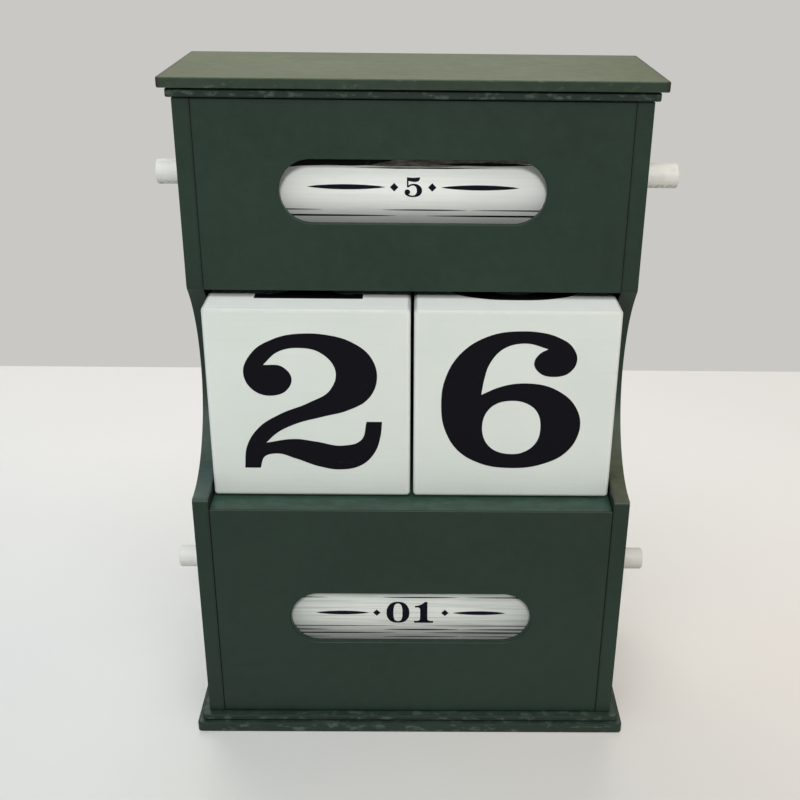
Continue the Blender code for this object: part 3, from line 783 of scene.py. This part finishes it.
def side_outline():
    """Outline of a side panel: pairs of Y and Z, anticlockwise from the lower front."""
    deepest_y = cube_front_y + SCOOP_DEPTH
    scoop_z = shelf_high[2] + SHOULDER_HEIGHT + SCOOP_LOWER_RADIUS
    set_in = deepest_y - upper_front_y
    rise = bay_low[2] + SCOOP_END_LIFT - scoop_z
    upper_radius = (set_in ** 2 + rise ** 2) / (2 * set_in)
    lower_centre = (deepest_y - SCOOP_LOWER_RADIUS, scoop_z)
    upper_centre = (deepest_y - upper_radius, scoop_z)
    shoulder, lower_touch = fillet_circle(lower_front_y, SHOULDER_FILLET, lower_centre,
                                          SCOOP_LOWER_RADIUS, -1)
    brow, upper_touch = fillet_circle(upper_front_y, SCOOP_END_FILLET, upper_centre, upper_radius, 1)
    outline = [(lower_front_y, side_low[2]), (case_back_y, side_low[2])]
    outline += [(case_back_y, side_high[2]), (upper_front_y, side_high[2])]
    outline += arc(brow, SCOOP_END_FILLET, math.pi, math.pi + upper_touch, FILLET_STEPS)
    outline += arc(upper_centre, upper_radius, upper_touch, 0, ARC_STEPS)[1:]
    outline += arc(lower_centre, SCOOP_LOWER_RADIUS, 0, lower_touch, ARC_STEPS)[1:]
    outline += arc(shoulder, SHOULDER_FILLET, math.pi + lower_touch, math.pi, FILLET_STEPS)[1:]
    return outline


def window_outline(centre_z):
    """Slot with half-round ends: pairs of X and Z."""
    radius = WINDOW_HEIGHT / 2
    reach = WINDOW_WIDTH / 2 - radius
    right_end = arc((reach, centre_z), radius, -math.pi / 2, math.pi / 2, ROUND_STEPS // 2)
    left_end = arc((-reach, centre_z), radius, math.pi / 2, 3 * math.pi / 2, ROUND_STEPS // 2)
    return right_end + left_end


# Case
holes = [circle((axis.y, axis.z), DOWEL_HOLE_RADIUS, ROUND_STEPS) for axis in (weekday_axis, month_axis)]
for side, low_x, high_x, paint in (("left", outer_x, inner_x, left_cool_lit_paint),
                                   ("right", -inner_x, -outer_x, right_warm_lit_paint)):
    board("board_side_" + side, side + "_side_panel", [side_outline()] + holes,
          facing_x((low_x + high_x) / 2), high_x - low_x, [paint, green_rim])

for level, low, high, window_z in (("upper", upper_low, upper_high, weekday_axis.z - WEEKDAY_WINDOW_DROP),
                                   ("lower", lower_low, lower_high, month_axis.z - MONTH_WINDOW_DROP)):
    board("board_front_" + level, level + "_front_panel",
          [rectangle(low[0] - JOINT_FILL, low[2], high[0] + JOINT_FILL, high[2]), window_outline(window_z)],
          facing_y((low[1] + high[1]) / 2), high[1] - low[1], [panel_paint, panel_rim], FRONT_RIM)

shelf_reach = lower_front_y + SHELF_SEAM_COVER
shelf_half = shelf_high[0] + JOINT_FILL
board("board_shelf", "cube_shelf", [rectangle(-shelf_half, shelf_reach, shelf_half, shelf_high[1])],
      facing_z((shelf_low[2] + shelf_high[2]) / 2 + PAINT_LIFT), shelf_high[2] - shelf_low[2],
      [green_paint, green_rim], FRONT_RIM)
board("board_upper_floor", "upper_box_floor", [rectangle(bay_low[0], bay_low[1], bay_high[0], bay_high[1])],
      facing_z((bay_low[2] + bay_high[2]) / 2), bay_high[2] - bay_low[2], [green_paint, green_rim])
board("board_back", "back_panel", [rectangle(back_low[0], back_low[2], back_high[0], back_high[2])],
      facing_y((back_low[1] + back_high[1]) / 2), back_high[1] - back_low[1],
      [green_paint, green_rim], FRONT_RIM)

for name, corner_radius, paints in (("base_plate", BASE_CORNER_RADIUS, [trim_paint, trim_rim]),
                                    ("base_step", BASE_CORNER_RADIUS, [trim_paint, trim_rim]),
                                    ("top_moulding", CORNICE_CORNER_RADIUS, [trim_paint, trim_rim]),
                                    ("top_cap", CORNICE_CORNER_RADIUS, [cap_paint, cap_rim])):
    low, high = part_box(name)
    outline = rounded_rectangle(low[0], low[1], high[0], high[1], corner_radius)
    board("board_" + name, name, [outline], facing_z((low[2] + high[2]) / 2), high[2] - low[2], paints)


# Cubes
def face_frame(centre, half, normal, up):
    """Matrix that lays a figure's plane on a cube's face."""
    normal = Vector(normal)
    up = Vector(up)
    across = up.cross(normal)
    origin = centre + normal * (half + INK_LIFT - INK_THICKNESS / 2)
    rows = [(across[i], up[i], normal[i], origin[i]) for i in range(3)]
    return Matrix(rows + [(0, 0, 0, 1)])


FACES = {"front": ((0, -1, 0), (0, 0, 1)), "back": ((0, 1, 0), (0, 0, 1)),
         "left": ((-1, 0, 0), (0, 0, 1)), "right": ((1, 0, 0), (0, 0, 1)),
         "top": ((0, 0, 1), (0, 1, 0)), "bottom": ((0, 0, -1), (0, 1, 0))}


def figure_outlines(figure, scale, shift=(0, 0), steps=FIGURE_STEPS):
    """Outlines of a figure in metres, about a place in its plane. A 9 is a 6 turned half round."""
    outlines = [smooth_outline(text, steps) for text in FIGURES["6" if figure == "9" else figure]]
    if figure == "9":
        outlines = [[Vector((-point.x, TURNED_SIX_LIFT - point.y)) for point in outline]
                    for outline in outlines]
    return [[(shift[0] + point.x * scale, shift[1] + point.y * scale) for point in outline]
            for outline in outlines]


def number_cube(name, body, figures):
    """Rounded cube with a printed figure on each face."""
    low, high = (Vector(corner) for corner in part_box(name))
    centre = (low + high) / 2
    half = (high.x - low.x) / 2
    shape = bmesh.new()
    bmesh.ops.create_cube(shape, size=2 * half, matrix=Matrix.Translation(centre))
    piece = make_piece(name + "_block", shape, [cube_white, cube_rim_lightened], body, name)
    round_rims(piece, CUBE_RIM, CUBE_RIM_STEPS)
    for face, figure in figures.items():
        normal, up = FACES[face]
        film = flat_mesh(figure_outlines(figure, MILLIMETRE), INK_THICKNESS)
        film.transform(face_frame(centre, half, normal, up))
        bmesh.ops.recalc_face_normals(film, faces=film.faces)
        make_piece(name + "_figure_" + face, film, [cube_ink], body)


number_cube("tens_cube", "left_number_cube",
            {"front": "2", "top": "1", "left": "4", "right": "3", "back": "5", "bottom": "0"})
number_cube("units_cube", "right_number_cube",
            {"front": "6", "top": "8", "left": "0", "right": "7", "back": "1", "bottom": "2"})


# Drums and dowels
def turned(profile, steps, centre, closed):
    """Round bmesh about an axis along X, from pairs of radius and distance along the axis."""
    shape = bmesh.new()
    rings = []
    for radius, along in profile:
        rings.append([shape.verts.new((centre.x + along,
                                       centre.y + radius * math.cos(2 * math.pi * index / steps),
                                       centre.z + radius * math.sin(2 * math.pi * index / steps)))
                      for index in range(steps)])
    pairs = list(zip(rings, rings[1:]))
    if closed:
        pairs.append((rings[-1], rings[0]))
    else:
        shape.faces.new(rings[0])
        shape.faces.new(rings[-1])
    for first, second in pairs:
        for index in range(steps):
            following = (index + 1) % steps
            shape.faces.new((first[index], first[following], second[following], second[index]))
    bmesh.ops.recalc_face_normals(shape, faces=shape.faces)
    return shape


def bent_print(outlines, radius, centre, turn):
    """Thin print bent round a drum, with its middle at an arc length above the front line."""
    film = flat_mesh(outlines, INK_THICKNESS)
    for index in range(-BEND_CUTS, BEND_CUTS + 1):
        bmesh.ops.bisect_plane(film, geom=film.verts[:] + film.edges[:] + film.faces[:],
                               plane_co=(0, index * BEND_STEP, 0), plane_no=(0, 1, 0))
    for vert in film.verts:
        angle = (vert.co.y + turn) / radius
        reach = radius + INK_LIFT - INK_THICKNESS / 2 + vert.co.z
        vert.co = (vert.co.x, centre.y - reach * math.cos(angle), centre.z + reach * math.sin(angle))
    bmesh.ops.recalc_face_normals(film, faces=film.faces)
    return film


def swelled_rule(from_x, to_x, level, thickness):
    """Rule that swells in its middle and tapers to both ends."""
    top = []
    bottom = []
    for index in range(1, RULE_STEPS):
        part = index / RULE_STEPS
        x = from_x + (to_x - from_x) * part
        half = thickness / 2 * math.sin(math.pi * part) ** RULE_TAPER
        top.append((x, level + half))
        bottom.append((x, level - half))
    return [(from_x, level)] + bottom + [(to_x, level)] + top[::-1]


def diamond(x, level, half):
    """Small diamond."""
    return [(x - half, level), (x, level - half), (x + half, level), (x, level + half)]


def label_outlines(text, cap_height, base, line_levels):
    """Print of one label: its number, a diamond and a swelled rule on either side, and worn lines."""
    scale = cap_height / FIGURE_CAP
    pitch = FIGURE_PITCH * scale
    outlines = []
    for index, figure in enumerate(text):
        x = (index - (len(text) - 1) / 2) * pitch
        outlines += figure_outlines(figure, scale, (x, base + FIGURE_FOOT * scale), LABEL_FIGURE_STEPS)
    gap = pitch * len(text) / 2
    level = base + cap_height / 2
    for side in (-1, 1):
        outlines.append(diamond(side * (gap + DIAMOND_PLACE), level, DIAMOND_HALF))
        outlines.append(swelled_rule(side * (gap + RULE_START), side * RULE_END, level, RULE_THICKNESS))
    for number, (line_level, thickness) in enumerate(line_levels):
        for start, end in LINE_SPANS[number % len(LINE_SPANS)]:
            outlines.append(swelled_rule(start, end, line_level, thickness))
    return outlines


def drum_tube(prefix, body, paper):
    """Tube of a drum, with its strip's paper on the outside and bare board elsewhere."""
    axis = middle(prefix + "_drum")
    radius, half = round_size(prefix + "_drum")
    inside = radius - DRUM_WALL
    profile = [(radius, TUBE_LIP - half), (radius, half - TUBE_LIP), (radius - TUBE_LIP, half),
               (inside, half), (inside, -half), (radius - TUBE_LIP, -half)]
    shape = turned(profile, 2 * ROUND_STEPS, axis, True)
    for face in shape.faces:
        centre = face.calc_center_median()
        outermost = math.hypot(centre.y - axis.y, centre.z - axis.z) > radius - TUBE_SKIN
        face.material_index = 0 if outermost else 1
    piece = make_piece(prefix + "_tube", shape, [paper, bare_board], body, prefix + "_drum")
    smooth_by_angle(piece, TUBE_SMOOTH_ANGLE)


def drum_print(prefix, body, labels, first_turn, cap_height, base, line_levels):
    """Print of a whole strip, bent round its drum.

    The first turn is the arc length from the front line to the first label. Each worn line has a level
    and a thickness.
    """
    axis = middle(prefix + "_drum")
    radius = round_size(prefix + "_drum")[0]
    strip = bmesh.new()
    for index, text in enumerate(labels):
        turn = first_turn + index * LABEL_HEIGHT
        bent = bent_print(label_outlines(text, cap_height, base, line_levels), radius, axis, turn)
        holder = bpy.data.meshes.new("bent_print")
        bent.to_mesh(holder)
        bent.free()
        strip.from_mesh(holder)
        bpy.data.meshes.remove(holder)
    make_piece(prefix + "_print", strip, [label_ink], body)


def bare_discs(prefix):
    """Bare board on the two end discs of a drum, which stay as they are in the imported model."""
    for side in ("left", "right"):
        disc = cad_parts[prefix + "_" + side + "_disc"]
        for slot in disc.material_slots:
            slot.link = "OBJECT"
            slot.material = bare_board


def peg_dowel(prefix, body, right_end_darkening):
    """Dowel with rounded ends."""
    axis = middle(prefix + "_dowel")
    radius, half = round_size(prefix + "_dowel")
    edge = []
    for step in range(DOWEL_END_STEPS + 1):
        angle = math.pi / 2 * step / DOWEL_END_STEPS
        edge.append((radius - DOWEL_END_ROUND * (1 - math.sin(angle)),
                     half - DOWEL_END_ROUND * (1 - math.cos(angle))))
    profile = [(reach, -along) for reach, along in edge] + edge[::-1]
    shape = turned(profile, ROUND_STEPS, axis, False)
    coat = dowel_coat(prefix + "_dowel_coat", tuple(axis), right_end_darkening)
    piece = make_piece(prefix + "_peg_dowel", shape, [coat], body, prefix + "_dowel")
    smooth_by_angle(piece, DOWEL_SMOOTH_ANGLE)


for prefix, body, paper, strip, end_darkening in (
        ("weekday", "weekday_roller", weekday_paper, WEEKDAY_STRIP, WEEKDAY_END_DARKENING),
        ("month", "month_roller", month_paper, MONTH_STRIP, MONTH_END_DARKENING)):
    drum_tube(prefix, body, paper)
    drum_print(prefix, body, **strip)
    bare_discs(prefix)
    peg_dowel(prefix, body, end_darkening)

# Painted shadow of the upper window's top edge on the weekday strip: the dark film lies over the brown one
weekday_radius = round_size("weekday_drum")[0]
for name, outlines, radius, paint in (("torn", [SHADOW_BAND_BROWN], weekday_radius, painted_shadow_brown),
                                      ("dark", [SHADOW_BAND_DARK, SHADOW_BAND_THIN, SHADOW_BAND_LINE],
                                       weekday_radius + INK_LIFT, painted_shadow_dark)):
    outlines = [[(x * MILLIMETRE, level * MILLIMETRE) for x, level in outline] for outline in outlines]
    film = bent_print(outlines, radius, weekday_axis, turn=0.0)
    make_piece("weekday_seam_" + name, film, [paint], "weekday_roller")

# Table
slab = flat_mesh([rounded_rectangle(-TABLE_REACH, -TABLE_REACH, TABLE_REACH, TABLE_BACK_Y,
                                    TABLE_CORNER_RADIUS)], TABLE_THICKNESS)
slab.transform(facing_z(-TABLE_THICKNESS / 2))
table = mesh_object("table", slab, [table_white])

# Room light: camera, glossy and transmitted rays see the plain backdrop, all others the soft light
world = bpy.data.worlds.new("room")
bpy.context.scene.world = world
world.use_nodes = True
tree = world.node_tree
tree.nodes.clear()
rays = tree.nodes.new("ShaderNodeLightPath")
mirrored = combined(tree, "MAXIMUM", rays.outputs["Is Glossy Ray"], rays.outputs["Is Transmission Ray"])
seen = combined(tree, "MAXIMUM", rays.outputs["Is Camera Ray"], mirrored)
ambient = node(tree, "ShaderNodeBackground", Color=AMBIENT_COLOUR, Strength=AMBIENT_STRENGTH)
backdrop = node(tree, "ShaderNodeBackground", Color=BACKDROP_COLOUR, Strength=BACKDROP_STRENGTH)
choice = tree.nodes.new("ShaderNodeMixShader")
feed(tree, choice.inputs[0], seen)
tree.links.new(ambient.outputs[0], choice.inputs[1])
tree.links.new(backdrop.outputs[0], choice.inputs[2])
output = tree.nodes.new("ShaderNodeOutputWorld")
tree.links.new(choice.outputs[0], output.inputs["Surface"])

# Square area lamps that face the object
for name, (place, size, power, colour) in LAMPS.items():
    light = bpy.data.lights.new(name, "AREA")
    light.shape = "SQUARE"
    light.size = size
    light.energy = power
    light.color = colour
    lamp = linked_object(name, light)
    lamp.location = place
    lamp.rotation_euler = (Vector(LAMP_TARGET) - Vector(place)).to_track_quat("-Z", "Y").to_euler()

# Camera
pitch, yaw, roll = (math.radians(angle) for angle in (CAMERA_PITCH, CAMERA_YAW, CAMERA_ROLL))
forward = Vector((math.sin(yaw) * math.cos(pitch), math.cos(yaw) * math.cos(pitch), -math.sin(pitch)))
level_right = Vector((math.cos(yaw), -math.sin(yaw), 0))
level_down = forward.cross(level_right)
right = math.cos(roll) * level_right + math.sin(roll) * level_down
down = -math.sin(roll) * level_right + math.cos(roll) * level_down
lens = bpy.data.cameras.new("camera")
lens.sensor_width = CAMERA_SENSOR_WIDTH
lens.lens = CAMERA_LENS
lens.shift_x, lens.shift_y = CAMERA_SHIFT
lens.clip_start = CAMERA_CLIP_START
lens.clip_end = CAMERA_CLIP_END
camera = linked_object("camera", lens)
camera.matrix_world = Matrix([(right[i], -down[i], -forward[i], CAMERA_PLACE[i]) for i in range(3)]
                             + [(0, 0, 0, 1)])
bpy.context.scene.camera = camera
bpy.context.scene.view_settings.view_transform = "Standard"

# Bring the scene up to date
bpy.context.view_layer.update()
